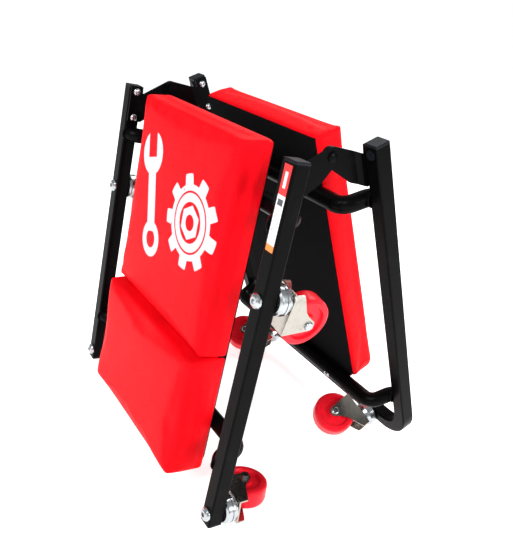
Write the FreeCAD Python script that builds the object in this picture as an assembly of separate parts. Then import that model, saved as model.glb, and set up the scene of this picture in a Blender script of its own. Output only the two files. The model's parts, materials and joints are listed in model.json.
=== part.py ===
"""Folding mechanics creeper: two steel frames with cushions, hinged together, on six swivel casters.

Each half is modelled flat: X across the creeper, Y away from the hinge, Z up from the hinge axis.
The halves are then turned about the hinge, so that the creeper stands part-folded on four casters.
"""

import FreeCAD
import Part
import math
import os

V = FreeCAD.Vector

# ---- driving dimensions, millimetres and degrees ----
overall_width = 406.0
tube = 19.0
tube_wall = 1.6
tube_corner = 2.2
hinge_drop = 40.0            # hinge axis below the rails' underside
rail_top = hinge_drop + tube
rail_x = (overall_width - tube) / 2

head_rail_start = 4.0
head_rail_end = 441.0
foot_rail_start = 2.0
foot_rail_end = 473.4
bend_radius = 40.5           # centre line of the foot tube's two bends

fold_opening = 28.66         # angle between the halves as the creeper stands
head_lean = 4.49             # head half's lean from upright

cap_flange = 3.0
cap_plug = 4.0

plate = 3.0                  # hinge plate thickness
plate_gap = 0.4
plate_eye = 10.0
pin_r = 4.0
running_gap = 0.06
plate_far = 52.5
plate_bolts = (12.0, 47.0)
plate_shoulder = (14.5, 40.3)          # where the upper edge leaves the rail
head_plate_edge = ((42.2, 24.2), (27.9, 6.1))
foot_plate_edge = ((40.0, 20.0),)

bar_r = 10.25
bar_bore = 8.75
bar_low = 14.25              # centre line of a bar's dropped middle
bar_straight = 156.3         # half length of the dropped middle
bar_turn = 75.0
bar_end_turn = 20.0
bar_low_bend = 16.0
bar_high_bend = 14.0
bar_slope = 13.5
head_bars = (71.0, 361.0)
foot_bars = (71.0, 389.0)

board_low = bar_low + bar_r
board_thickness = 10.5
board_half = 119.5
head_board = (4.5, 410.5)
foot_board = (9.0, 398.0)
board_corner = 30.0
skirt_low = board_low + 0.3
soft_gap = 0.4
back_pad = (122.5, 1.5, 261.4, 66.6)   # half width, near end, far end, top
headrest = (122.5, 262.0, 424.0, 79.0)
foot_pad = (122.5, 6.0, 402.0, 66.6)
screw_x = 85.0
screw_r = 3.0

caster_height = 80.0
wheel_r = 30.0
wheel_width = 23.0
trail = 27.0
race_r = 17.0
race_depth = 8.0
kingpin_r = 5.0
crown_low = 18.8             # underside of the fork's crown, below the rail
fork_gauge = 2.0
fork_gap = 13.2              # wheel centre to a fork leg's inner face
axle_r = 3.0
bearing_r = 6.5
mid_caster = 150.0
end_caster = 426.0
foot_caster = (128.0, foot_rail_end - tube / 2)

# caster name: half, X, distance from the hinge, direction that it trails in
casters = {
    "head_right": ("head", rail_x, end_caster, 174.0),
    "head_left": ("head", -rail_x, end_caster, 6.0),
    "middle_right": ("head", rail_x, mid_caster, 100.0),
    "middle_left": ("head", -rail_x, mid_caster, 80.0),
    "foot_right": ("foot", foot_caster[0], foot_caster[1], 210.0),
    "foot_left": ("foot", -foot_caster[0], foot_caster[1], 210.0),
}

axle_level = hinge_drop - caster_height + wheel_r
foot_lean = fold_opening - head_lean


# ---- small makers ----
def box(x0, x1, y0, y1, z0, z1):
    return Part.makeBox(x1 - x0, y1 - y0, z1 - z0, V(x0, y0, z0))


def rod(radius, start, end):
    line = end - start
    return Part.makeCylinder(radius, line.Length, start, line)


def both_sides(shape):
    return [shape, shape.mirror(V(0, 0, 0), V(1, 0, 0))]


def prism(points, push):
    """A straight-sided outline pushed along a vector."""
    return Part.Face(Part.makePolygon(points + points[:1])).extrude(push)


def square_section(size, corner, centre, normal_along_y=True):
    """Rounded square face, centred on a point, in the XZ plane."""
    half = size / 2
    block = box(-half, half, 0, 1, -half, half)
    edges = [e for e in block.Edges if abs(e.BoundBox.YLength - 1) < 0.01]
    rounded = block.makeFillet(corner, edges)
    face = min(rounded.Faces, key=lambda f: f.CenterOfMass.y)
    face.translate(centre)
    return face


def revolved(points, axis_point, axis):
    face = Part.Face(Part.makePolygon(points + points[:1]))
    return face.revolve(axis_point, axis, 360)


# ---- frames ----
def straight_rail(x, start, end):
    centre = V(x, start, hinge_drop + tube / 2)
    outer = square_section(tube, tube_corner, centre).extrude(V(0, end - start, 0))
    inner = square_section(tube - 2 * tube_wall, 0.8, centre).extrude(V(0, end - start, 0))
    return outer.cut(inner)


def upright_hole(x, y, radius, low, high):
    return rod(radius, V(x, y, low), V(x, y, high))


def head_rail(x):
    rail = straight_rail(x, head_rail_start + cap_flange, head_rail_end - cap_flange)
    for y in (mid_caster, end_caster):
        rail = rail.cut(upright_hole(x, y, kingpin_r + running_gap, hinge_drop - 1, rail_top + 1))
    return rail.cut(plate_bolt_holes(x))


def plate_bolt_holes(x):
    side = math.copysign(1.0, x)
    level = hinge_drop + tube / 2
    holes = []
    for y in plate_bolts:
        start = V(side * (rail_x - tube / 2 - plate - 1), y, level)
        holes.append(rod(2.5, start, start + V(side * (plate + tube_wall + 1.5), 0, 0)))
    return Part.makeCompound(holes)


def foot_tube():
    """One tube bent into a U: two rails and the bar that joins them."""
    level = hinge_drop + tube / 2
    start = foot_rail_start + cap_flange
    bend_y = foot_rail_end - tube / 2 - bend_radius
    bend_x = rail_x - bend_radius
    pieces = []
    for size, corner in ((tube, tube_corner), (tube - 2 * tube_wall, 0.8)):
        rail_face = square_section(size, corner, V(rail_x, start, level))
        rail = rail_face.extrude(V(0, bend_y - start, 0))
        bend_face = square_section(size, corner, V(rail_x, bend_y, level))
        bend = bend_face.revolve(V(bend_x, bend_y, level), V(0, 0, 1), 90)
        bar_face = square_section(size, corner, V(0, 0, 0))
        bar_face.rotate(V(0, 0, 0), V(0, 0, 1), 90)
        bar_face.translate(V(bend_x, foot_rail_end - tube / 2, level))
        bar = bar_face.extrude(V(-2 * bend_x, 0, 0))
        left = [s.mirror(V(0, 0, 0), V(1, 0, 0)) for s in (rail, bend)]
        pieces.append(rail.multiFuse([bend, bar] + left))
    frame = pieces[0].cut(pieces[1])
    for x in (foot_caster[0], -foot_caster[0]):
        frame = frame.cut(upright_hole(x, foot_caster[1], kingpin_r + running_gap, hinge_drop - 1, rail_top + 1))
    for x in (rail_x, -rail_x):
        frame = frame.cut(plate_bolt_holes(x))
    return frame.removeSplitter()


def end_cap(x, end, outward):
    """Plastic plug: a flange over the tube's end and a body inside it."""
    level = hinge_drop + tube / 2
    y = end - outward * cap_flange
    flange = square_section(tube, tube_corner, V(x, y, level)).extrude(V(0, outward * cap_flange, 0))
    rim = [e for e in flange.Edges if abs(e.CenterOfMass.y - end) < 0.01]
    flange = flange.makeChamfer(0.9, rim)
    size = tube - 2 * tube_wall - 0.1
    body = square_section(size, 0.8, V(x, y, level)).extrude(V(0, -outward * cap_plug, 0))
    hollow = square_section(size - 4, 0.5, V(x, y, level)).extrude(V(0, -outward * cap_plug, 0))
    return flange.fuse(body.cut(hollow))


def bar_outline(y):
    """Edges of a bar's centre line: level in the middle, rising to the rails at both ends."""
    points = [(bar_straight, bar_low)]
    x, z = points[0]
    turn = math.radians(bar_turn)
    last = math.radians(bar_end_turn)
    middle = turn / 2
    points.append((x + bar_low_bend * math.sin(middle), z + bar_low_bend * (1 - math.cos(middle))))
    x, z = x + bar_low_bend * math.sin(turn), z + bar_low_bend * (1 - math.cos(turn))
    points.append((x, z))
    x, z = x + bar_slope * math.cos(turn), z + bar_slope * math.sin(turn)
    points.append((x, z))
    for angle in ((turn + last) / 2, last):
        across = bar_high_bend * (math.sin(turn) - math.sin(angle))
        rise = bar_high_bend * (math.cos(angle) - math.cos(turn))
        points.append((x + across, z + rise))
    x, z = points[-1]
    points.append((x + 8 * math.cos(last), z + 8 * math.sin(last)))
    right = [V(px, y, pz) for px, pz in points]
    left = [V(-px, y, pz) for px, pz in points]
    edges = []
    for side in (left, right):
        edges.append(Part.Arc(side[0], side[1], side[2]).toShape())
        edges.append(Part.LineSegment(side[2], side[3]).toShape())
        edges.append(Part.Arc(side[3], side[4], side[5]).toShape())
        edges.append(Part.LineSegment(side[5], side[6]).toShape())
    edges.append(Part.LineSegment(left[0], right[0]).toShape())
    return edges, left[6], left[6] - left[5]


def crossbar(y):
    """Round tube that drops below the rails, so that the cushion sits between them."""
    edges, start, direction = bar_outline(y)
    path = Part.Wire(Part.__sortEdges__(edges))
    swept = []
    for radius in (bar_r, bar_bore):
        ring = Part.Wire(Part.makeCircle(radius, start, direction))
        swept.append(path.makePipeShell([ring], True, False))
    bar = swept[0].cut(swept[1])
    reach = rail_x - tube / 2
    bar = bar.common(box(-reach, reach, y - 20, y + 20, -20, rail_top + 20))
    for x in (screw_x, -screw_x):
        bar = bar.cut(upright_hole(x, y, screw_r + 0.05, bar_low - bar_r - 1, bar_low + bar_r + 1))
    return bar


# ---- hinge ----
def tangent_points(eye, far):
    """Points where lines from a far point touch the hinge eye, as (y, z) pairs."""
    distance = math.hypot(far[0], far[1])
    turn = math.acos(eye / distance)
    angle = math.atan2(far[1], far[0])
    return [(eye * math.cos(angle + s * turn), eye * math.sin(angle + s * turn)) for s in (-1, 1)]


def plate_outline(x0, x1, lower_edge):
    """Hinge plate: a strip on the rail's side face, drawn down to the round eye."""
    near = tangent_points(plate_eye, plate_shoulder)[1]
    far = tangent_points(plate_eye, lower_edge[-1])[0]
    strip = [(4.5, rail_top - 1), (plate_far, rail_top - 1), (plate_far, hinge_drop - 1)] + list(lower_edge)
    strip += [far, (0, 0), near, plate_shoulder, (4.5, hinge_drop + 1)]
    body = prism([V(x0, y, z) for y, z in strip], V(x1 - x0, 0, 0))
    eye = rod(plate_eye, V(x0, 0, 0), V(x1, 0, 0))
    return body.fuse(eye).removeSplitter()


def head_hinge_plate():
    outer = rail_x - tube / 2
    blank = plate_outline(outer - plate, outer, head_plate_edge)
    return blank.cut(rod(pin_r, V(outer - 20, 0, 0), V(outer + 1, 0, 0))).cut(plate_bolt_holes(rail_x))


def foot_hinge_plate():
    """Set in by one thickness at the eye, so that it passes inside the head plate."""
    outer = rail_x - tube / 2
    step = plate + plate_gap
    low, high = 30.0, 35.0
    blank = plate_outline(outer - step - plate, outer, foot_plate_edge)
    section = [
        (outer, rail_top), (outer, high), (outer - step, low), (outer - step, -20),
        (outer - step - plate, -20), (outer - step - plate, low + 1.2),
        (outer - plate, high + 1.2), (outer - plate, rail_top),
    ]
    strip = prism([V(x, -30, z) for x, z in section], V(0, 120, 0))
    blank = blank.common(strip)
    hole = rod(pin_r + running_gap, V(outer - 20, 0, 0), V(outer + 1, 0, 0))
    return blank.cut(hole).cut(plate_bolt_holes(rail_x))


def hinge_pin():
    """Rivet through both plates, with a domed outer head and a flat inner one."""
    outer = rail_x - tube / 2
    inner = outer - 2 * plate - plate_gap - 0.3
    shank = rod(pin_r, V(inner - 3, 0, 0), V(outer, 0, 0))
    tail = rod(6.5, V(inner - 3, 0, 0), V(inner, 0, 0))
    dome = [V(outer, 0, 0), V(outer, 6, 0), V(outer + 1.1, 5.8, 0), V(outer + 2.3, 4.5, 0)]
    dome += [V(outer + 3, 2.4, 0), V(outer + 3.2, 0, 0)]
    head = revolved(dome, V(0, 0, 0), V(1, 0, 0))
    return shank.multiFuse([tail, head]).removeSplitter()


def plate_bolt(y):
    """Button-head bolt that holds a hinge plate to its rail."""
    level = hinge_drop + tube / 2
    face = rail_x - tube / 2 - plate
    shank = rod(2.5, V(face, y, level), V(face + plate + tube_wall, y, level))
    button = [V(face, 0, 0), V(face, 5, 0), V(face - 1.2, 4.8, 0), V(face - 2.6, 3.2, 0), V(face - 3.0, 0, 0)]
    head = revolved(button, V(0, 0, 0), V(1, 0, 0))
    head.translate(V(0, y, level))
    socket = rod(1.5, V(face - 4, y, level), V(face - 1.6, y, level))
    return shank.fuse(head).cut(socket)


# ---- boards and cushions ----
def board(size, screw_rows):
    near, far = size
    slab = box(-board_half, board_half, near, far, board_low, board_low + board_thickness)
    upright = [e for e in slab.Edges if e.BoundBox.ZLength > board_thickness - 0.01 and e.BoundBox.YMin > near + 1]
    if far < 400:
        slab = slab.makeFillet(board_corner, upright)
    for y in screw_rows:
        for x in (screw_x, -screw_x):
            hole_top = board_low + board_thickness - 1.5
            slab = slab.cut(upright_hole(x, y, screw_r + 0.05, board_low - 1, hole_top))
    return slab


def board_screw(x, y):
    """Pan-head screw up through a bar into the board."""
    seat = bar_low - bar_r + 0.6
    shank = rod(screw_r, V(x, y, seat - 1), V(x, y, board_low + board_thickness - 1.5))
    pan = [V(0, 0, seat - 0.6), V(5.4, 0, seat - 0.6), V(5.2, 0, seat - 2), V(4, 0, seat - 3.2), V(0, 0, seat - 3.6)]
    head = revolved(pan, V(0, 0, 0), V(0, 0, 1))
    head.translate(V(x, y, 0))
    slot = box(x - 4, x + 4, y - 0.5, y + 0.5, seat - 4, seat - 2.2)
    return shank.fuse(head).cut(slot)


def cushion(size, corner, rim, board_size):
    """Block with a rounded upper rim, hollowed underneath where its cover wraps the board."""
    half, near, far, top = size
    block = box(-half, half, near, far, skirt_low, top)
    height = top - skirt_low
    upright = [e for e in block.Edges if e.BoundBox.ZLength > height - 0.01 and e.BoundBox.YMin > near + 1]
    block = block.makeFillet(corner, upright)
    edges = [e for e in block.Edges if e.BoundBox.ZMin > top - 0.01]
    block = block.makeFillet(rim, edges)
    gap = soft_gap
    reach = board_half + gap
    pocket_top = board_low + board_thickness + gap
    pocket = box(-reach, reach, board_size[0] - gap, board_size[1] + gap, board_low - 1, pocket_top)
    if board_size[1] < 400:
        upright = [e for e in pocket.Edges if e.BoundBox.ZLength > 5 and e.BoundBox.YMin > board_size[0] + 1]
        pocket = pocket.makeFillet(board_corner + gap, upright)
    return block.cut(pocket)


# ---- casters, about their own swivel axis, trailing along +X ----
def upper_race():
    """Fixed half of the swivel, pressed against the rail."""
    top = hinge_drop
    low = top - race_depth
    cup = [V(kingpin_r, 0, top), V(race_r - 3, 0, top), V(race_r - 0.6, 0, top - 1.4), V(race_r, 0, top - 3)]
    cup += [V(race_r, 0, low), V(kingpin_r, 0, low)]
    return revolved(cup, V(0, 0, 0), V(0, 0, 1))


def lower_race():
    top = hinge_drop - race_depth - 0.4
    low = hinge_drop - crown_low + fork_gauge + 0.2
    cup = [V(kingpin_r + running_gap, 0, top), V(race_r + 0.6, 0, top), V(race_r + 0.6, 0, top - 2.6)]
    cup += [V(race_r - 1.4, 0, low + 1), V(race_r - 3, 0, low), V(kingpin_r + running_gap, 0, low)]
    return revolved(cup, V(0, 0, 0), V(0, 0, 1))


def kingpin():
    """Bolt down through the rail and both races, with a nut inside the fork."""
    head_low = rail_top
    button = [V(0, 0, head_low), V(8.5, 0, head_low), V(8.5, 0, head_low + 1.4), V(7.4, 0, head_low + 3.4)]
    button += [V(5, 0, head_low + 4.8), V(0, 0, head_low + 5.2)]
    head = revolved(button, V(0, 0, 0), V(0, 0, 1))
    socket = prism(
        [V(3.2 * math.cos(math.radians(60 * i)), 3.2 * math.sin(math.radians(60 * i)), head_low + 2) for i in range(6)],
        V(0, 0, 6),
    )
    nut_top = hinge_drop - crown_low - 0.3
    shank = rod(kingpin_r, V(0, 0, nut_top - 5), V(0, 0, head_low))
    nut = prism(
        [V(8 * math.cos(math.radians(60 * i)), 8 * math.sin(math.radians(60 * i)), nut_top - 4) for i in range(6)],
        V(0, 0, 4),
    )
    return shank.multiFuse([head, nut]).cut(socket)


def fork_leg():
    """Side plate in the XZ plane, from the crown down to the axle boss."""
    top = hinge_drop - crown_low + fork_gauge
    boss = 7.5
    back = trail + 10
    circle = rod(boss, V(trail, 0, axle_level), V(trail, fork_gauge, axle_level))
    outline = [
        V(-race_r + 3, 0, top), V(back, 0, top), V(back + 0.5, 0, top - 3), V(trail + boss, 0, axle_level),
        V(trail, 0, axle_level), V(trail - 2, 0, axle_level - boss + 0.3), V(trail - 7, 0, axle_level - 2.6),
        V(trail - 12, 0, axle_level + 4), V(9, 0, axle_level + 10), V(0, 0, axle_level + 14.6),
        V(-8, 0, axle_level + 18.5), V(-race_r + 3, 0, axle_level + 22),
    ]
    leg = prism(outline, V(0, fork_gauge, 0)).fuse(circle)
    return leg.removeSplitter()


def fork():
    low = hinge_drop - crown_low
    half = fork_gap + fork_gauge
    crown = box(-race_r + 3, trail + 10, -half, half, low, low + fork_gauge)
    legs = []
    for side in (fork_gap, -half):
        leg = fork_leg()
        leg.translate(V(0, side, 0))
        legs.append(leg)
    body = crown.multiFuse(legs).removeSplitter()
    body = body.cut(rod(kingpin_r + running_gap, V(0, 0, low - 2), V(0, 0, low + 5)))
    return body.cut(rod(axle_r, V(trail, -half - 1, axle_level), V(trail, half + 1, axle_level)))


def axle():
    """Axle bolt with a round head on one side and a nut on the other."""
    half = fork_gap + fork_gauge
    shank = rod(axle_r, V(trail, -half, axle_level), V(trail, half, axle_level))
    head = rod(5.2, V(trail, half, axle_level), V(trail, half + 2.8, axle_level))
    rim = [e for e in head.Edges if e.BoundBox.YMin > half + 2.7]
    head = head.makeFillet(1.6, rim)
    corners = []
    for i in range(6):
        turn = math.radians(60 * i)
        corners.append(V(trail + 5.4 * math.cos(turn), -half - 3.6, axle_level + 5.4 * math.sin(turn)))
    nut = prism(corners, V(0, 3.6, 0))
    return shank.multiFuse([head, nut])


def wheel():
    """Moulded wheel: rounded tread, recessed web and a raised hub ring."""
    half = wheel_width / 2
    shoulder = 3.0
    profile = [
        (bearing_r, -half), (bearing_r + 3.5, -half), (bearing_r + 4.5, -half + 3.2),
        (wheel_r - 9.5, -half + 3.2), (wheel_r - 8.0, -half), (wheel_r - shoulder, -half),
        (wheel_r - 0.8, -half + 1.2), (wheel_r, -half + shoulder + 1),
        (wheel_r, half - shoulder - 1), (wheel_r - 0.8, half - 1.2), (wheel_r - shoulder, half),
        (wheel_r - 8.0, half), (wheel_r - 9.5, half - 3.2), (bearing_r + 4.5, half - 3.2),
        (bearing_r + 3.5, half), (bearing_r, half),
    ]
    points = [V(trail + radius, y, axle_level) for radius, y in profile]
    return revolved(points, V(trail, 0, axle_level), V(0, 1, 0))


def bearing():
    half = fork_gap - 0.5
    sleeve = rod(bearing_r, V(trail, -half, axle_level), V(trail, half, axle_level))
    return sleeve.cut(rod(axle_r + running_gap, V(trail, -half - 1, axle_level), V(trail, half + 1, axle_level)))


# ---- placing ----
def half_placement(half):
    """Turns a flat half about the hinge to its place in the standing creeper."""
    if half == "head":
        turned = FreeCAD.Rotation(V(0, 0, 1), 180)
        lean = FreeCAD.Rotation(V(1, 0, 0), 90 - head_lean)
        return FreeCAD.Placement(V(0, 0, 0), lean.multiply(turned))
    return FreeCAD.Placement(V(0, 0, 0), FreeCAD.Rotation(V(1, 0, 0), foot_lean - 90))


def caster_placement(half, x, y, angle):
    """From a caster's own axes to the flat half that carries it."""
    if half == "head":
        x = -x
        angle = 180 - angle
    return FreeCAD.Placement(V(x, y, 0), FreeCAD.Rotation(V(0, 0, 1), angle))


def build():
    """All nodes about the hinge axis, as name: (half, list of solids)."""
    nodes = {}
    nodes["head_rail_left"] = ("head", [head_rail(rail_x)])
    nodes["head_rail_right"] = ("head", [head_rail(-rail_x)])
    caps = [end_cap(x, head_rail_start, -1) for x in (rail_x, -rail_x)]
    caps += [end_cap(x, head_rail_end, 1) for x in (rail_x, -rail_x)]
    nodes["head_rail_caps"] = ("head", caps)
    nodes["head_crossbar_upper"] = ("head", [crossbar(head_bars[0])])
    nodes["head_crossbar_lower"] = ("head", [crossbar(head_bars[1])])
    nodes["head_hinge_plates"] = ("head", both_sides(head_hinge_plate()))
    nodes["head_hinge_bolts"] = ("head", [s for y in plate_bolts for s in both_sides(plate_bolt(y))])
    nodes["hinge_pins"] = ("head", both_sides(hinge_pin()))
    nodes["head_board"] = ("head", [board(head_board, head_bars)])
    nodes["head_board_screws"] = ("head", [board_screw(x, y) for y in head_bars for x in (screw_x, -screw_x)])
    nodes["back_pad"] = ("head", [cushion(back_pad, 3, 9, head_board)])
    nodes["headrest_pad"] = ("head", [cushion(headrest, 12, 11, head_board)])
    nodes["rail_label"] = ("head", [box(-rail_x - 6, -rail_x + 6, 9, 96, rail_top, rail_top + 0.3)])

    nodes["foot_tube"] = ("foot", [foot_tube()])
    nodes["foot_tube_caps"] = ("foot", [end_cap(x, foot_rail_start, -1) for x in (rail_x, -rail_x)])
    nodes["foot_crossbar_upper"] = ("foot", [crossbar(foot_bars[0])])
    nodes["foot_crossbar_lower"] = ("foot", [crossbar(foot_bars[1])])
    nodes["foot_hinge_plates"] = ("foot", both_sides(foot_hinge_plate()))
    nodes["foot_hinge_bolts"] = ("foot", [s for y in plate_bolts for s in both_sides(plate_bolt(y))])
    nodes["foot_board"] = ("foot", [board(foot_board, foot_bars)])
    nodes["foot_board_screws"] = ("foot", [board_screw(x, y) for y in foot_bars for x in (screw_x, -screw_x)])
    nodes["foot_pad"] = ("foot", [cushion(foot_pad, 33, 9, foot_board)])
    plugs = [rod(5.5, V(x, 5 + 8, hinge_drop - 1.6), V(x, 5 + 8, hinge_drop)) for x in (rail_x, -rail_x)]
    nodes["foot_rail_plugs"] = ("foot", plugs)

    shared = {"head": [], "foot": []}
    pins = {"head": [], "foot": []}
    for name, (half, x, y, angle) in casters.items():
        place = caster_placement(half, x, y, angle)
        for maker, store in ((upper_race, shared[half]), (kingpin, pins[half])):
            piece = maker()
            piece.transformShape(place.toMatrix())
            store.append(piece)
        for label, maker in (("race", lower_race), ("fork", fork), ("axle", axle), ("wheel", wheel), ("bearing", bearing)):
            piece = maker()
            piece.transformShape(place.toMatrix())
            nodes[f"{name}_{label}"] = (half, [piece])
    for half in ("head", "foot"):
        nodes[f"{half}_caster_races"] = (half, shared[half])
        nodes[f"{half}_caster_bolts"] = (half, pins[half])
    return nodes


def main():
    nodes = build()
    placed = {}
    for name, (half, solids) in nodes.items():
        matrix = half_placement(half).toMatrix()
        moved = []
        for solid in solids:
            copy = solid.copy()
            copy.transformShape(matrix)
            moved.append(copy)
        placed[name] = Part.makeCompound(moved) if len(moved) > 1 else moved[0]
    whole = Part.makeCompound(list(placed.values())).optimalBoundingBox(False, False)
    origin = V(-(whole.XMin + whole.XMax) / 2, -(whole.YMin + whole.YMax) / 2, -whole.ZMin)
    os.makedirs("parts", exist_ok=True)
    for name, shape in placed.items():
        shape.translate(origin)
        for solid in shape.Solids:
            if not solid.isValid() or solid.Volume <= 0:
                print("not valid:", name)
        shape.exportStep(f"parts/{name}.step")
    print("size", [round(v, 2) for v in (whole.XLength, whole.YLength, whole.ZLength)])
    print("fold", [round(v, 3) for v in origin])
    for name, (half, x, y, angle) in casters.items():
        place = half_placement(half).multiply(caster_placement(half, x, y, angle))
        swivel = place.multVec(V(0, 0, hinge_drop)) + origin
        up = place.Rotation.multVec(V(0, 0, 1))
        hub = place.multVec(V(trail, 0, axle_level)) + origin
        spin = place.Rotation.multVec(V(0, 1, 0))
        numbers = [[round(c, 6) for c in v] for v in (swivel, up, hub, spin)]
        print("caster", name, numbers)


main()
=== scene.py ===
"""A folding mechanics creeper, standing part-folded: cushions, finishes, welds, light and camera."""

import json
import logging
import math
from dataclasses import dataclass, field
from enum import Enum
from typing import Any, Callable, Optional, Union

import bpy
import numpy as np
from mathutils import Matrix, Vector

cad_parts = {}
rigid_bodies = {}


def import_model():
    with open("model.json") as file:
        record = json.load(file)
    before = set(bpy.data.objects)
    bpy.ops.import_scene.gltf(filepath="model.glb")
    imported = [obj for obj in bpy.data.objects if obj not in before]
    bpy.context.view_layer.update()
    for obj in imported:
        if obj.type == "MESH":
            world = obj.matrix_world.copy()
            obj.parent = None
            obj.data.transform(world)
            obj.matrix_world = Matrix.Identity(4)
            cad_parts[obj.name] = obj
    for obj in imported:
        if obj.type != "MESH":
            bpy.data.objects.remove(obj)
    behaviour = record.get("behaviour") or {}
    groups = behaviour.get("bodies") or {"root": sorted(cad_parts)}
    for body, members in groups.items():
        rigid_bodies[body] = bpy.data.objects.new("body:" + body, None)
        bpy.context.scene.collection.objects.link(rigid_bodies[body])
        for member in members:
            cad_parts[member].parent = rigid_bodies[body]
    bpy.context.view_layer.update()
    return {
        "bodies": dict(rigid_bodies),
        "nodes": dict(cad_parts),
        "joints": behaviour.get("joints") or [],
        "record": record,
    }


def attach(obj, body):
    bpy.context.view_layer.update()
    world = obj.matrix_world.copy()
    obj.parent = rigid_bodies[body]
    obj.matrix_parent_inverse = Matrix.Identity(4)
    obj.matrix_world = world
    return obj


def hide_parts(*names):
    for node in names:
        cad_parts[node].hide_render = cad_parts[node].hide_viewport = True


log = logging.getLogger("creeper")
MM = 0.001
HEAD_LEAN = 4.49
FOOT_LEAN = 24.17
TOUCH = 1.0  # how near, in millimetres, counts as on a face of a block
COVER_ANGLE = 40.0  # a cover's edges sharper than this stay sharp, in degrees
CLOTH_FRAMES = 20
CLOTH_PRESSURE = 4
CLOTH_STIFFNESS = 25
EMBLEM_ROW = 118.0  # how far from the hinge the emblem's middle lies
SPANNER_ACROSS = -50.0
SPANNER_TURN = 74.0
GEAR_ACROSS = 54.0
GEAR_TEETH = 9.0
LABEL_ACROSS = 193.5
BAR_ROWS = {"head": (71.0, 361.0), "foot": (71.0, 389.0)}


class Side(Enum):
    """The two hinged halves of the creeper."""

    HEAD = "head_frame"
    FOOT = "foot_frame"


@dataclass(frozen=True)
class Half:
    """One half's own axes: x across, s away from the hinge, n out through the cushion.

    Args:
        side: which half this is.
        lean: its angle from upright, in degrees.
        pivot: a point on the hinge axis, in metres.
    """

    side: Side
    lean: float
    pivot: tuple[float, float, float]

    @property
    def along(self) -> Vector:
        """Unit vector away from the hinge."""
        turn = math.radians(self.lean)
        sign = -1.0 if self.side is Side.HEAD else 1.0
        return Vector((0, sign * math.sin(turn), -math.cos(turn)))

    @property
    def outward(self) -> Vector:
        """Unit vector out through the cushion."""
        turn = math.radians(self.lean)
        sign = -1.0 if self.side is Side.HEAD else 1.0
        return Vector((0, sign * math.cos(turn), math.sin(turn)))

    def matrix(self) -> Matrix:
        """From the half's own axes, in millimetres, to the row's, in metres."""
        turned = Matrix((Vector((1, 0, 0)), self.along, self.outward)).transposed().to_4x4()
        return Matrix.Translation(self.pivot) @ turned @ Matrix.Scale(MM, 4)


# ---- shader writing ----
Value = Union[float, "Num"]


class Num:
    """A number that varies over a surface, with Python's operators."""

    def __init__(self, sheet: "Sheet", socket: Any) -> None:
        """Wraps an output socket.

        Args:
            sheet: the node sheet that it belongs to.
            socket: the output socket.
        """
        self.sheet = sheet
        self.socket = socket

    def _op(self, name: str, a: Value, b: Value) -> "Num":
        """One Math node."""
        node = self.sheet.node("ShaderNodeMath", {"operation": name}, {0: a, 1: b})
        return Num(self.sheet, node.outputs[0])

    def __add__(self, other: Value) -> "Num":
        """Sum."""
        return self._op("ADD", self, other)

    def __radd__(self, other: Value) -> "Num":
        """Reflected sum."""
        return self._op("ADD", other, self)

    def __sub__(self, other: Value) -> "Num":
        """Difference."""
        return self._op("SUBTRACT", self, other)

    def __rsub__(self, other: Value) -> "Num":
        """Reflected difference."""
        return self._op("SUBTRACT", other, self)

    def __mul__(self, other: Value) -> "Num":
        """Product."""
        return self._op("MULTIPLY", self, other)

    def __abs__(self) -> "Num":
        """Size without sign."""
        return self._op("ABSOLUTE", self, 0.0)

    def lowest(self, other: Value) -> "Num":
        """The smaller of two."""
        return self._op("MINIMUM", self, other)

    def highest(self, other: Value) -> "Num":
        """The larger of two."""
        return self._op("MAXIMUM", self, other)

    def root(self) -> "Num":
        """Square root."""
        return self._op("SQRT", self, 0.0)

    def angle_from(self, across: "Num") -> "Num":
        """Angle of the point whose height is this number, in radians."""
        return self._op("ARCTAN2", self, across)

    def sine(self) -> "Num":
        """Sine of an angle in radians."""
        return self._op("SINE", self, 0.0)

    def wrapped(self, span: float) -> "Num":
        """Remainder after whole spans, never negative."""
        return self._op("FLOORED_MODULO", self, span)

    def below(self, edge: float, blur: float) -> "Num":
        """1 under an edge and 0 above it, with a soft step.

        Args:
            edge: where the step is.
            blur: half the width of the step.
        """
        return self.ramp(edge - blur, edge + blur, 1.0, 0.0)

    def ramp(self, low: float, high: float, start: float = 0.0, end: float = 1.0) -> "Num":
        """Smooth step from one value to another.

        Args:
            low: where it starts.
            high: where it ends.
            start: the value before it.
            end: the value after it.
        """
        settings = {"interpolation_type": "SMOOTHSTEP"}
        sockets = {"Value": self, "From Min": low, "From Max": high, "To Min": start, "To Max": end}
        return Num(self.sheet, self.sheet.node("ShaderNodeMapRange", settings, sockets).outputs[0])


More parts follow.
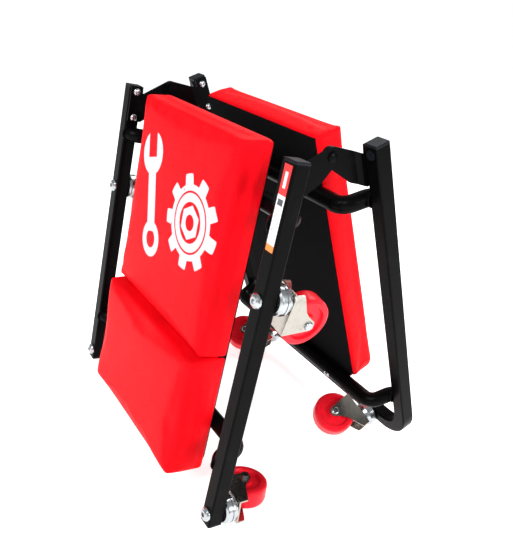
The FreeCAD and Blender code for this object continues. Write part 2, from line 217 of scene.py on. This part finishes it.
class Sheet:
    """The node sheet of one material, read on Object coordinates."""

    def __init__(self, name: str) -> None:
        """Makes the material.

        Args:
            name: the material's name.
        """
        self.material = bpy.data.materials.new(name)
        self.material.use_nodes = True
        self.tree = self.material.node_tree
        self.shader = self.tree.nodes["Principled BSDF"]
        self.place = self.node("ShaderNodeTexCoord", {}, {}).outputs["Object"]

    def node(self, kind: str, settings: dict[str, Any], sockets: dict[Any, Any]) -> Any:
        """Adds a node.

        Args:
            kind: the node's type.
            settings: attributes, set first.
            sockets: input names or numbers, with values or links.

        Returns:
            The node.
        """
        node = self.tree.nodes.new(kind)
        for key, value in settings.items():
            setattr(node, key, value)
        for key, value in sockets.items():
            self.feed(node.inputs[key], value)
        return node

    def feed(self, target: Any, value: Any) -> None:
        """Sets or links one input socket.

        Args:
            target: the input socket.
            value: a number, a tuple, a Num or an output socket.
        """
        if isinstance(value, Num):
            self.tree.links.new(value.socket, target)
        elif isinstance(value, bpy.types.NodeSocket):
            self.tree.links.new(value, target)
        else:
            target.default_value = value

    def set(self, **sockets: Any) -> None:
        """Sets inputs of the surface shader, with _ for a space in each name."""
        for key, value in sockets.items():
            self.feed(self.shader.inputs[key.replace("_", " ")], value)

    def noise(self, scale: float, detail: float = 3.0, rough: float = 0.5) -> Num:
        """Soft random variation, 0 to 1.

        Args:
            scale: features per metre.
            detail: octaves.
            rough: strength of the finer octaves.
        """
        sockets = {"Vector": self.place, "Scale": scale, "Detail": detail, "Roughness": rough}
        return Num(self, self.node("ShaderNodeTexNoise", {}, sockets).outputs[0])

    def cells(self, scale: float) -> Num:
        """Distance to the nearest border of random cells.

        Args:
            scale: cells per metre.
        """
        sockets = {"Vector": self.place, "Scale": scale}
        node = self.node("ShaderNodeTexVoronoi", {"feature": "DISTANCE_TO_EDGE"}, sockets)
        return Num(self, node.outputs["Distance"])

    def axis(self, direction: Vector, origin: tuple[float, float, float]) -> Num:
        """Millimetres from a point along a direction.

        Args:
            direction: unit vector.
            origin: the point, in metres.
        """
        offset = self.node("ShaderNodeVectorMath", {"operation": "SUBTRACT"}, {0: self.place, 1: origin})
        dot = self.node(
            "ShaderNodeVectorMath", {"operation": "DOT_PRODUCT"}, {0: offset.outputs[0], 1: tuple(direction)}
        )
        return Num(self, dot.outputs["Value"]) * (1 / MM)

    def mix(self, mask: Value, base: Any, over: Any) -> Any:
        """Colour mix.

        Args:
            mask: 0 for the base, 1 for the other.
            base: colour or socket.
            over: colour or socket.

        Returns:
            The mixed colour's socket.
        """
        sockets = {"Factor": mask, 6: base, 7: over}
        return self.node("ShaderNodeMix", {"data_type": "RGBA"}, sockets).outputs[2]

    def bump(self, height: Num, depth: float, below: Optional[Any] = None) -> Any:
        """Bump from a height.

        Args:
            height: 0 to 1.
            depth: how deep 1 is, in metres.
            below: a normal to start from.

        Returns:
            The normal's socket.
        """
        sockets = {"Height": height, "Distance": depth, "Strength": 1.0}
        if below is not None:
            sockets["Normal"] = below
        return self.node("ShaderNodeBump", {}, sockets).outputs[0]


def rgb(red: float, green: float, blue: float) -> tuple[float, float, float, float]:
    """A colour with full cover."""
    return (red, green, blue, 1.0)


# ---- finishes ----
@dataclass(frozen=True)
class Vinyl:
    """Stretched grained vinyl, with an optional printed spanner and gear wheel."""

    red: tuple[float, float, float, float] = rgb(0.84, 0.002, 0.008)
    deep: tuple[float, float, float, float] = rgb(0.66, 0.002, 0.006)
    ink: tuple[float, float, float, float] = rgb(0.93, 0.66, 0.72)
    grain: float = 900.0
    roughness: float = 0.36
    specular: float = 0.04
    grain_depth: float = 0.00016
    wave_depth: float = 0.0016

    def make(self, name: str, half: Half, print_on: bool) -> bpy.types.Material:
        """Writes the material.

        Args:
            name: the material's name.
            half: the half whose axes the print follows.
            print_on: whether the emblem is printed.

        Returns:
            The material.
        """
        sheet = Sheet(name)
        cloudy = sheet.noise(16, 3)
        pores = sheet.cells(self.grain).ramp(0.0, 0.32)
        crinkle = sheet.noise(150, 4, 0.6)
        colour = sheet.mix(cloudy.ramp(0.35, 0.75) * 0.45, self.red, self.deep)
        rough = self.roughness + crinkle * 0.1 + (1 - pores) * 0.08
        if print_on:
            mask = self.emblem(sheet, half) * sheet.noise(260, 4, 0.65).ramp(0.30, 0.36)
            colour = sheet.mix(mask, colour, self.ink)
            rough = rough + mask * 0.08
        normal = sheet.bump(pores * 0.75 + crinkle * 0.5, self.grain_depth)
        normal = sheet.bump(sheet.noise(22, 2), self.wave_depth, normal)
        sheet.set(Base_Color=colour, Roughness=rough, Normal=normal, Specular_IOR_Level=self.specular)
        return sheet.material

    def emblem(self, sheet: Sheet, half: Half) -> Num:
        """A plain spanner and a gear wheel round a nut, as a mask.

        Args:
            sheet: the node sheet.
            half: the half whose axes it follows.

        Returns:
            1 where there is ink.
        """
        across = sheet.axis(Vector((1, 0, 0)), half.pivot)
        along = sheet.axis(half.along, half.pivot) - EMBLEM_ROW
        gear = self.gear(across - GEAR_ACROSS, along)
        shape = self.spanner(across - SPANNER_ACROSS, along).lowest(gear)
        front = sheet.axis(half.outward, half.pivot).ramp(58, 62)
        return shape.below(0.0, 0.5) * front

    def spanner(self, x: Num, y: Num) -> Num:
        """Signed distance to a spanner: a handle, an open jaw and a ring end.

        Args:
            x: millimetres across from its middle.
            y: millimetres along from its middle.
        """
        turn = math.radians(SPANNER_TURN)
        u = x * math.cos(turn) + y * math.sin(turn)
        v = y * math.cos(turn) - x * math.sin(turn)
        handle = (abs(u) - 46).highest(abs(v) - 10)
        jaw = (u + 47).highest(abs(v) - 11)
        head = self.disc(u + 52, v, 27).highest(jaw * -1.0)
        ring = self.disc(u - 56, v, 23).highest(self.disc(u - 56, v, 11.5) * -1.0)
        return handle.lowest(head).lowest(ring)

    def gear(self, x: Num, y: Num) -> Num:
        """Signed distance to a grooved gear wheel round a hexagon nut.

        Args:
            x: millimetres across from its middle.
            y: millimetres along from its middle.
        """
        teeth = y.angle_from(x) * GEAR_TEETH
        tooth = teeth.sine()
        reach = self.disc(x, y, 0.0)
        wheel = (reach - tooth.ramp(-0.35, 0.35, 44.0, 56.0)).highest(24.0 - reach)
        groove = abs(reach - 35.5) - 1.3
        flats = abs(x).highest(abs(x * 0.5 + y * 0.866)).highest(abs(x * 0.5 - y * 0.866)) - 18
        nut = flats.highest(self.disc(x, y, 9.5) * -1.0)
        return wheel.highest(groove * -1.0).lowest(nut)

    @staticmethod
    def disc(x: Num, y: Num, radius: float) -> Num:
        """Signed distance to a disc."""
        return (x * x + y * y).root() - radius


@dataclass(frozen=True)
class Coating:
    """Gloss black powder coat, faintly pebbled, dusty and rubbed."""

    black: tuple[float, float, float, float] = rgb(0.0018, 0.0018, 0.002)
    worn: tuple[float, float, float, float] = rgb(0.006, 0.006, 0.0072)
    roughness: float = 0.22
    coat: float = 0.02
    coat_roughness: float = 0.08
    specular: float = 0.03
    depth: float = 0.00014

    def make(self, name: str) -> bpy.types.Material:
        """Writes the material and returns it."""
        sheet = Sheet(name)
        smear = sheet.noise(38, 4, 0.6)
        colour = sheet.mix(smear.ramp(0.55, 0.8) * 0.5, self.black, self.worn)
        rough = self.roughness + smear * 0.16
        sheet.set(Base_Color=colour, Roughness=rough, Normal=sheet.bump(sheet.noise(520, 2), self.depth))
        sheet.set(Coat_Weight=self.coat, Coat_Roughness=self.coat_roughness)
        sheet.set(Specular_IOR_Level=self.specular)
        return sheet.material


@dataclass(frozen=True)
class Moulded:
    """Moulded plastic or polyurethane, with a soft mottle and fine texture."""

    colour: tuple[float, float, float, float]
    shade: tuple[float, float, float, float]
    roughness: float
    texture: float = 1400.0
    depth: float = 0.00008
    coat: float = 0.05
    gloss: float = 0.08

    def make(self, name: str) -> bpy.types.Material:
        """Writes the material and returns it."""
        sheet = Sheet(name)
        mottle = sheet.noise(60, 4, 0.6)
        colour = sheet.mix(mottle.ramp(0.4, 0.75) * 0.6, self.colour, self.shade)
        rough = self.roughness + mottle * 0.14
        normal = sheet.bump(sheet.noise(self.texture, 3), self.depth)
        sheet.set(Base_Color=colour, Roughness=rough, Normal=normal)
        sheet.set(Coat_Weight=self.coat, Specular_IOR_Level=self.gloss)
        return sheet.material


@dataclass(frozen=True)
class Plating:
    """Bright plated steel, with faint streaks and dulled patches."""

    tint: tuple[float, float, float, float] = rgb(0.46, 0.49, 0.51)
    dull: tuple[float, float, float, float] = rgb(0.20, 0.21, 0.22)
    roughness: float = 0.14
    depth: float = 0.00005

    def make(self, name: str) -> bpy.types.Material:
        """Writes the material and returns it."""
        sheet = Sheet(name)
        patch = sheet.noise(90, 5, 0.6)
        colour = sheet.mix(patch.ramp(0.45, 0.8) * 0.6, self.tint, self.dull)
        rough = self.roughness + patch * 0.2
        normal = sheet.bump(sheet.noise(700, 3), self.depth)
        sheet.set(Base_Color=colour, Metallic=1.0, Roughness=rough, Normal=normal)
        return sheet.material


@dataclass(frozen=True)
class Backing:
    """Dull black woven backing sheet, stapled over a board."""

    black: tuple[float, float, float, float] = rgb(0.003, 0.003, 0.0035)
    thread: tuple[float, float, float, float] = rgb(0.009, 0.009, 0.0105)
    pitch: float = 1.8
    roughness: float = 0.72
    specular: float = 0.03
    depth: float = 0.0002

    def make(self, name: str, half: Half) -> bpy.types.Material:
        """Writes the material.

        Args:
            name: the material's name.
            half: the half whose axes the weave follows.

        Returns:
            The material.
        """
        sheet = Sheet(name)
        across = abs(sheet.axis(Vector((1, 0, 0)), half.pivot).wrapped(self.pitch) - self.pitch / 2)
        along = abs(sheet.axis(half.along, half.pivot).wrapped(self.pitch) - self.pitch / 2)
        weave = (across * along).ramp(0.0, 0.6)
        fluff = sheet.noise(60, 4, 0.6)
        colour = sheet.mix(weave * 0.5 + fluff * 0.3, self.black, self.thread)
        rough = self.roughness + fluff * 0.2
        sheet.set(Base_Color=colour, Roughness=rough, Normal=sheet.bump(weave, self.depth))
        sheet.set(Specular_IOR_Level=self.specular)
        return sheet.material


@dataclass(frozen=True)
class RailLabel:
    """Glossy strip label: a red head, plain rules on white and an orange foot."""

    red_end: float = 39.0
    orange_start: float = 89.0
    blur: float = 0.2
    rule_pitch: float = 1.5
    red: tuple[float, float, float, float] = rgb(0.75, 0.01, 0.012)
    pale: tuple[float, float, float, float] = rgb(0.85, 0.8, 0.8)
    white: tuple[float, float, float, float] = rgb(0.85, 0.85, 0.84)
    ink: tuple[float, float, float, float] = rgb(0.05, 0.05, 0.06)
    orange: tuple[float, float, float, float] = rgb(0.9, 0.22, 0.02)

    def make(self, name: str, half: Half, middle: float) -> bpy.types.Material:
        """Writes the material.

        Args:
            name: the material's name.
            half: the half whose rail it is stuck to.
            middle: the strip's middle across the creeper, in millimetres.

        Returns:
            The material.
        """
        sheet = Sheet(name)
        across = sheet.axis(Vector((1, 0, 0)), half.pivot) - middle
        along = sheet.axis(half.along, half.pivot)
        blur = self.blur
        rules = abs(across.wrapped(self.rule_pitch) - self.rule_pitch / 2).below(0.28, 0.1)
        breaks = sheet.noise(420, 2).ramp(0.42, 0.5)
        block = abs(along - 46).below(3.2, blur) * abs(across).below(4.2, blur)
        ruled = abs(along - 68).below(15, 0.3) * abs(across).below(4.6, blur)
        stripe = abs(along - 24).below(8, blur) * abs(across).below(2.1, blur)
        paper = sheet.mix((rules * breaks * ruled).highest(block), self.white, self.ink)
        foot = along.ramp(self.orange_start - blur, self.orange_start + blur)
        paper = sheet.mix(foot, paper, self.orange)
        top = sheet.mix(stripe, self.red, self.pale)
        colour = sheet.mix(along.ramp(self.red_end - blur, self.red_end + blur), top, paper)
        rough = 0.22 + sheet.noise(120, 3) * 0.16
        sheet.set(Base_Color=colour, Roughness=rough, Normal=sheet.bump(sheet.noise(300, 2), 0.00006))
        return sheet.material


# ---- modelling helpers ----
def deselect() -> None:
    """Leaves object mode with nothing selected."""
    if bpy.context.mode != "OBJECT":
        bpy.ops.object.mode_set(mode="OBJECT")
    bpy.ops.object.select_all(action="DESELECT")


def activate(piece: bpy.types.Object) -> None:
    """Selects one piece alone and makes it active."""
    deselect()
    piece.select_set(True)
    bpy.context.view_layer.objects.active = piece


def pick(piece: bpy.types.Object, test: Callable[[Vector], bool], kind: str = "EDGE") -> None:
    """Enters edit mode with only the parts that pass a test selected.

    Args:
        piece: the mesh object.
        test: takes a part's middle point.
        kind: VERT or EDGE.
    """
    activate(piece)
    bpy.ops.object.mode_set(mode="EDIT")
    bpy.ops.mesh.select_mode(type=kind)
    bpy.ops.mesh.select_all(action="DESELECT")
    bpy.ops.object.mode_set(mode="OBJECT")
    mesh = piece.data
    if kind == "EDGE":
        for edge in mesh.edges:
            a, b = (mesh.vertices[i].co for i in edge.vertices)
            edge.select = test((a + b) / 2)
    else:
        for vertex in mesh.vertices:
            vertex.select = test(vertex.co)
    bpy.ops.object.mode_set(mode="EDIT")


def slab(low: Vector, high: Vector) -> bpy.types.Object:
    """Adds a box between two corners, with its origin left at zero."""
    deselect()
    bpy.ops.mesh.primitive_cube_add(size=1)
    piece = bpy.context.active_object
    piece.data.transform(Matrix.Translation((low + high) / 2) @ Matrix.Diagonal((*(high - low), 1)))
    return piece


def apply_all(piece: bpy.types.Object) -> None:
    """Applies every modifier, in order."""
    activate(piece)
    for modifier in list(piece.modifiers):
        bpy.ops.object.modifier_apply(modifier=modifier.name)


def seat(piece: bpy.types.Object, half: Half) -> None:
    """Moves a mesh from a half's own axes to the row's."""
    matrix = half.matrix() @ piece.matrix_world
    piece.matrix_world = Matrix.Identity(4)
    piece.data.transform(matrix)
    if matrix.determinant() < 0:
        piece.data.flip_normals()
    piece.data.update()


def dress(piece: bpy.types.Object, material: bpy.types.Material) -> None:
    """Gives a piece one material."""
    piece.data.materials.clear()
    piece.data.materials.append(material)


# ---- cushions ----
@dataclass
class Cushion:
    """A foam cushion in a stretched vinyl cover that wraps its board.

    Lengths are in millimetres, in the half's own axes.
    """

    name: str
    node: str
    half: Half
    half_width: float
    near: float
    far: float
    top: float
    near_top: float
    near_corner: float
    far_corner: float
    rim: float
    swell: float
    board: tuple[float, float, float]
    fill: float = 0.9
    bottom: float = 25.0
    board_top: float = 35.0
    voxel: float = 4.0
    slack: float = 2.0
    half_way_band: float = 9.0
    folds: tuple[tuple[tuple[float, float, float], ...], ...] = ()

    def build(self, material: bpy.types.Material) -> bpy.types.Object:
        """Models, inflates, seams and seats the cushion.

        Args:
            material: the cover's vinyl.

        Returns:
            The finished piece.
        """
        piece = self.block()
        self.inflate(piece)
        self.crown(piece)
        self.hollow(piece)
        seat(piece, self.half)
        activate(piece)
        bpy.ops.object.shade_smooth_by_angle(angle=math.radians(COVER_ANGLE))
        dress(piece, material)
        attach(piece, self.half.side.value)
        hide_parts(self.node)
        log.info("cushion %s: %d points", self.name, len(piece.data.vertices))
        return piece

    def block(self) -> bpy.types.Object:
        """A tight block with rounded corners and rim, evenly remeshed."""
        low = Vector((-self.half_width, self.near, self.bottom))
        high = Vector((self.half_width, self.far, self.top - self.slack))
        piece = slab(low, high)
        piece.name = self.name
        pick(piece, lambda c: c.z > high.z - TOUCH and c.y < low.y + TOUCH, "VERT")
        bpy.ops.transform.translate(value=(0, 0, self.near_top - self.top))
        middle = (low.y + high.y) / 2
        for is_far, radius in ((False, self.near_corner), (True, self.far_corner)):
            pick(piece, lambda c: self.on_upright(c, high) and (c.y > middle) == is_far)
            bpy.ops.mesh.bevel(offset=radius, segments=8, affect="EDGES")
        rim_level = self.near_top - self.slack - TOUCH
        pick(piece, lambda c: c.z > rim_level and self.on_rim(c, low, high))
        bpy.ops.mesh.bevel(offset=self.rim, segments=6, affect="EDGES", clamp_overlap=False)
        activate(piece)
        remesh = piece.modifiers.new("even", "REMESH")
        remesh.mode = "VOXEL"
        remesh.voxel_size = self.voxel
        apply_all(piece)
        return piece

    def on_upright(self, centre: Vector, high: Vector) -> bool:
        """Whether an edge's middle lies half-way up one of the block's upright edges."""
        half_way = abs(centre.z - (self.bottom + high.z) / 2) < self.half_way_band
        return half_way and abs(abs(centre.x) - high.x) < TOUCH

    def on_rim(self, centre: Vector, low: Vector, high: Vector) -> bool:
        """Whether an edge's middle lies round the upper face's border."""
        inside_x = abs(centre.x) < high.x - self.far_corner
        inside_y = low.y + TOUCH < centre.y < high.y - TOUCH
        return not (inside_x and inside_y)

    def inflate(self, piece: bpy.types.Object) -> None:
        """Swells the cover with cloth pressure, then caps how far it moved.

        Args:
            piece: the remeshed block.
        """
        piece.data.transform(Matrix.Scale(MM, 4))
        group = piece.vertex_groups.new(name="held")
        held = [v.index for v in piece.data.vertices if v.co.z < (self.board_top + 1) * MM]
        group.add(held, 1.0, "REPLACE")
        rest = self.points(piece.data)
        cloth = piece.modifiers.new("air", "CLOTH")
        settings = cloth.settings
        settings.quality = 5
        settings.mass = 0.3
        settings.tension_stiffness = CLOTH_STIFFNESS
        settings.compression_stiffness = CLOTH_STIFFNESS
        settings.bending_stiffness = 2
        settings.use_pressure = True
        settings.uniform_pressure_force = CLOTH_PRESSURE
        settings.vertex_group_mass = "held"
        settings.effector_weights.gravity = 0
        cloth.point_cache.frame_start = 1
        cloth.point_cache.frame_end = CLOTH_FRAMES
        for frame in range(1, CLOTH_FRAMES + 1):
            bpy.context.scene.frame_set(frame)
        evaluated = piece.evaluated_get(bpy.context.evaluated_depsgraph_get())
        move = self.points(evaluated.to_mesh()) - rest
        piece.modifiers.remove(cloth)
        bpy.context.scene.frame_set(1)
        length = np.linalg.norm(move, axis=1, keepdims=True)
        cap = self.swell * MM
        move *= np.minimum(1.0, cap / np.maximum(length, 1e-9))
        piece.data.vertices.foreach_set("co", (rest + move).astype(np.float32).ravel())
        piece.vertex_groups.clear()
        piece.data.transform(Matrix.Scale(1 / MM, 4))
        piece.data.update()

    @staticmethod
    def points(mesh: bpy.types.Mesh) -> np.ndarray:
        """A mesh's points as rows."""
        flat = np.zeros(len(mesh.vertices) * 3, np.float32)
        mesh.vertices.foreach_get("co", flat)
        return flat.reshape(-1, 3).astype(float)

    def crown(self, piece: bpy.types.Object) -> None:
        """Fits the swollen form to its size, with crowned faces and pulled-in cover lines.

        Args:
            piece: the swollen cushion.
        """
        p = self.points(piece.data)
        x = np.clip(p[:, 0] / self.half_width, -1, 1)
        y = np.clip((p[:, 1] - self.near) / (self.far - self.near), 0, 1) * 2 - 1
        upper = np.clip((p[:, 2] - self.board_top) / (self.top - self.board_top), 0, 1)
        dome = (1 - x**4) * (1 - y**4)
        p[:, 2] += upper * (1.8 * dome - 0.5)
        # gathers along the cover's lower hem, and a pull at the board's edge
        hem = np.exp(-(((p[:, 2] - self.board_top - 3) / 5.0) ** 2))
        wave = np.sin(p[:, 1] * 0.21) * np.sin(p[:, 1] * 0.083 + 1.3)
        side = np.where(np.abs(p[:, 0]) > self.half_width - 8, np.sign(p[:, 0]), 0.0)
        p[:, 0] -= side * hem * (0.5 + 0.4 * wave)
        self.crease(p)
        widest, highest = self.half_width + 2.5, self.top + 3.0
        p[:, 0] = np.clip(p[:, 0], -widest, widest)
        p[:, 1] = np.clip(p[:, 1], self.near, self.far)
        p[:, 2] = np.clip(p[:, 2], self.bottom, highest)
        piece.data.vertices.foreach_set("co", p.astype(np.float32).ravel())
        piece.data.update()
        smooth = piece.modifiers.new("soft", "SMOOTH")
        smooth.factor = 0.5
        smooth.iterations = 2
        fine = piece.modifiers.new("fine", "SUBSURF")
        fine.levels = fine.render_levels = 1
        apply_all(piece)

    def crease(self, p: np.ndarray) -> None:
        """Presses folds of the cover into the form, each with a raised lip.

        Args:
            p: the cushion's points, changed in place.
        """
        middle = np.array((0.0, (self.near + self.far) / 2, self.bottom))
        for fold in self.folds:
            for start, end in zip(fold, fold[1:]):
                a, b = np.array(start), np.array(end)
                run = b - a
                part = np.clip(((p - a) @ run) / (run @ run), 0, 1)
                away = p - (a + part[:, None] * run)
                gap = np.linalg.norm(away, axis=1)
                inward = middle - p
                inward /= np.linalg.norm(inward, axis=1, keepdims=True)
                depth = 1.9 * np.exp(-((gap / 1.9) ** 2)) - 0.8 * np.exp(-(((gap - 4.2) / 2.0) ** 2))
                p += inward * depth[:, None]

    def hollow(self, piece: bpy.types.Object) -> None:
        """Cuts the pocket that the board fills, leaving the cover's skirt.

        Args:
            piece: the shaped cushion.
        """
        half, near, far = self.board
        cutter = slab(Vector((-half, near, self.bottom - 5)), Vector((half, far, self.board_top + 0.3)))
        cut = piece.modifiers.new("pocket", "BOOLEAN")
        cut.operation = "DIFFERENCE"
        cut.solver = "EXACT"
        cut.object = cutter
        apply_all(piece)
        bpy.data.objects.remove(cutter)


# ---- welds ----
@dataclass
class Welds:
    """Rippled beads where the crossbars' ends meet the rails."""

    half: Half
    rows: tuple[float, float]
    reach: float = 183.6
    level: float = 48.9
    ring: float = 10.6
    bead: float = 1.5

    def build(self, material: bpy.types.Material) -> bpy.types.Object:
        """Models one bead and copies it to every joint.

        Args:
            material: the coating over the welds.

        Returns:
            The finished piece.
        """
        pieces = []
        for row in self.rows:
            for side in (-1, 1):
                deselect()
                bpy.ops.mesh.primitive_torus_add(
                    major_segments=64, minor_segments=8, major_radius=self.ring, minor_radius=self.bead
                )
                bead = bpy.context.active_object
                for vertex in bead.data.vertices:
                    turn = math.atan2(vertex.co.y, vertex.co.x)
                    vertex.co *= 1 + 0.022 * math.sin(turn * 21)
                spin = Matrix.Rotation(math.radians(90), 4, "Y")
                place = Matrix.Translation((side * self.reach, row, self.level))
                bead.data.transform(place @ Matrix.Diagonal((1, 1, 1.07, 1)) @ spin)
                pieces.append(bead)
        deselect()
        for bead in pieces:
            bead.select_set(True)
        bpy.context.view_layer.objects.active = pieces[0]
        bpy.ops.object.join()
        piece = bpy.context.active_object
        piece.name = f"{self.half.side.value}_welds"
        seat(piece, self.half)
        activate(piece)
        bpy.ops.object.mode_set(mode="EDIT")
        bpy.ops.mesh.select_all(action="SELECT")
        bpy.ops.mesh.normals_make_consistent(inside=False)
        bpy.ops.object.mode_set(mode="OBJECT")
        bpy.ops.object.shade_smooth()
        dress(piece, material)
        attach(piece, self.half.side.value)
        log.info("welds on %s", self.half.side.value)
        return piece


# ---- surroundings ----
@dataclass
class Studio:
    """Pale floor, soft lights, plain sky and the camera."""

    eye: tuple[float, float, float] = (0.63577, -0.47753, 0.57030)
    angles: tuple[float, float, float] = (66.341, -8.541, 56.839)
    lens: float = 40.008
    floor_size: float = 30.0
    floor_glow: float = 0.62
    sky_light: float = 0.42

    def build(self) -> None:
        """Adds everything that is not part of the creeper."""
        self.floor()
        self.sky()
        self.lamp("key", (0.6, -1.9, 1.7), 1.2, 42)
        self.lamp("rim", (2.0, 0.5, 1.1), 1.0, 34)
        self.lamp("back", (-0.8, 1.2, 1.9), 1.2, 30)
        self.camera()

    def floor(self) -> None:
        """A wide plane with a faint mottle."""
        deselect()
        bpy.ops.mesh.primitive_plane_add(size=self.floor_size)
        floor = bpy.context.active_object
        floor.name = "floor"
        sheet = Sheet("pale_floor")
        colour = sheet.mix(sheet.noise(3, 2), rgb(0.985, 0.985, 0.985), rgb(0.97, 0.97, 0.97))
        sheet.set(Base_Color=colour, Roughness=0.9, Specular_IOR_Level=0.0)
        sheet.set(Emission_Color=rgb(1, 1, 1), Emission_Strength=self.floor_glow)
        dress(floor, sheet.material)

    def sky(self) -> None:
        """White all round to the camera, and dimmer as a light."""
        world = bpy.data.worlds.new("sky")
        world.use_nodes = True
        tree = world.node_tree
        dim = tree.nodes["Background"]
        dim.inputs[0].default_value = rgb(1, 1, 1)
        dim.inputs[1].default_value = self.sky_light
        plain = tree.nodes.new("ShaderNodeBackground")
        plain.inputs[0].default_value = rgb(1, 1, 1)
        plain.inputs[1].default_value = 1.0
        rays = tree.nodes.new("ShaderNodeLightPath")
        choose = tree.nodes.new("ShaderNodeMixShader")
        tree.links.new(rays.outputs["Is Camera Ray"], choose.inputs[0])
        tree.links.new(dim.outputs[0], choose.inputs[1])
        tree.links.new(plain.outputs[0], choose.inputs[2])
        tree.links.new(choose.outputs[0], tree.nodes["World Output"].inputs[0])
        bpy.context.scene.world = world
        bpy.context.scene.view_settings.view_transform = "Standard"

    @staticmethod
    def lamp(name: str, place: tuple[float, float, float], size: float, power: float) -> None:
        """A square soft light aimed at the creeper's middle.

        Args:
            name: the lamp's name.
            place: where it hangs, in metres.
            size: its side, in metres.
            power: its power, in watts.
        """
        data = bpy.data.lights.new(name, "AREA")
        data.size = size
        data.energy = power
        lamp = bpy.data.objects.new(name, data)
        lamp.location = place
        aim = Vector((0, 0, 0.25)) - Vector(place)
        lamp.rotation_euler = aim.to_track_quat("-Z", "Y").to_euler()
        bpy.context.scene.collection.objects.link(lamp)

    def camera(self) -> None:
        """The camera, leaning a little to one side."""
        data = bpy.data.cameras.new("camera")
        data.lens = self.lens
        data.sensor_width = data.sensor_height = 36
        data.sensor_fit = "AUTO"
        camera = bpy.data.objects.new("camera", data)
        camera.location = self.eye
        camera.rotation_euler = [math.radians(a) for a in self.angles]
        bpy.context.scene.collection.objects.link(camera)
        bpy.context.scene.camera = camera


# ---- the whole creeper ----
@dataclass
class Creeper:
    """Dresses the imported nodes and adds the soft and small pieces."""

    frame: dict[str, Any]
    head: Half = field(init=False)
    foot: Half = field(init=False)

    def __post_init__(self) -> None:
        """Finds the hinge axis and both halves' axes."""
        fold = next(j for j in self.frame["joints"] if j["name"] == "fold")
        pivot = tuple(fold["pos_m"])
        self.head = Half(Side.HEAD, HEAD_LEAN, pivot)
        self.foot = Half(Side.FOOT, FOOT_LEAN, pivot)

    def cushions(self) -> None:
        """The back pad, the raised headrest and the foot pad."""
        vinyl = Vinyl()
        printed = vinyl.make("printed_vinyl", self.head, True)
        plain = vinyl.make("plain_vinyl", self.head, False)
        head_board, foot_board = (119.9, 4.1, 410.9), (119.9, 8.6, 398.4)
        head_folds = (
            ((86, 266, 74), (103, 273, 75), (113, 270, 76.5), (124, 266, 72)),
            ((124, 266, 72), (124, 269, 55), (124, 267, 28)),
        )
        foot_fold = ((122.5, 66), (114, 47), (98, 34), (84, 30))
        foot_folds = tuple(tuple((side * x, 6, n) for x, n in foot_fold) for side in (1, -1))
        Cushion(
            "back_cushion", "back_pad", self.head, half_width=123.0, near=1.0, far=261.6, top=66.6,
            near_top=66.6, near_corner=1.5, far_corner=1, rim=2.2, swell=3.5, board=head_board,
        ).build(printed)
        Cushion(
            "headrest_cushion", "headrest_pad", self.head, half_width=123.5, near=261.9, far=426.5, top=80,
            near_top=78, near_corner=1, far_corner=2, rim=2.2, swell=3.5, board=head_board,
            slack=0.8, folds=head_folds,
        ).build(plain)
        Cushion(
            "foot_cushion", "foot_pad", self.foot, half_width=123.0, near=5.5, far=402.5, top=66.6,
            near_top=66.6, near_corner=2, far_corner=33, rim=2.2, swell=3.5, board=foot_board,
            folds=foot_folds,
        ).build(plain)

    def coat_nodes(self) -> None:
        """Gives every node that stays its finish."""
        coating = Coating().make("black_coating")
        plastic = Moulded(rgb(0.006, 0.007, 0.01), rgb(0.014, 0.017, 0.022), 0.38).make("cap_plastic")
        wheel = Moulded(rgb(0.80, 0.008, 0.022), rgb(0.55, 0.003, 0.01), 0.26, gloss=0.14).make("wheel_red")
        chrome = Plating().make("bright_chrome")
        zinc = Plating(rgb(0.40, 0.38, 0.34), rgb(0.24, 0.23, 0.21), 0.16).make("zinc_plating")
        steel = Plating(rgb(0.5, 0.5, 0.51), rgb(0.3, 0.3, 0.3), 0.3).make("turned_steel")
        label = RailLabel().make("strip_label", self.head, LABEL_ACROSS)
        backs = {
            "head_board": Backing().make("head_backing", self.head),
            "foot_board": Backing().make("foot_backing", self.foot),
        }
        finishes = {
            "black_paint": coating, "black_plastic": plastic, "red_wheel": wheel, "chrome": chrome,
            "zinc_plate": zinc, "steel_sleeve": steel, "printed_label": label,
        }
        slots = {part["node"]: part["material_slot"] for part in self.frame["record"]["subparts"]}
        for name, node in self.frame["nodes"].items():
            finish = backs.get(name) or finishes.get(slots[name])
            if finish is not None:
                dress(node, finish)
        log.info("finishes on %d nodes", len(slots))

    def build(self) -> None:
        """Builds every new piece and dresses the rest."""
        self.coat_nodes()
        self.cushions()
        coating = bpy.data.materials["black_coating"]
        Welds(self.head, BAR_ROWS["head"]).build(coating)
        Welds(self.foot, BAR_ROWS["foot"]).build(coating)


def main() -> None:
    """Builds the creeper and its surroundings, in order."""
    logging.basicConfig(level=logging.INFO)
    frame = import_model()
    Studio().build()
    Creeper(frame).build()


if __name__ == "__main__":
    main()
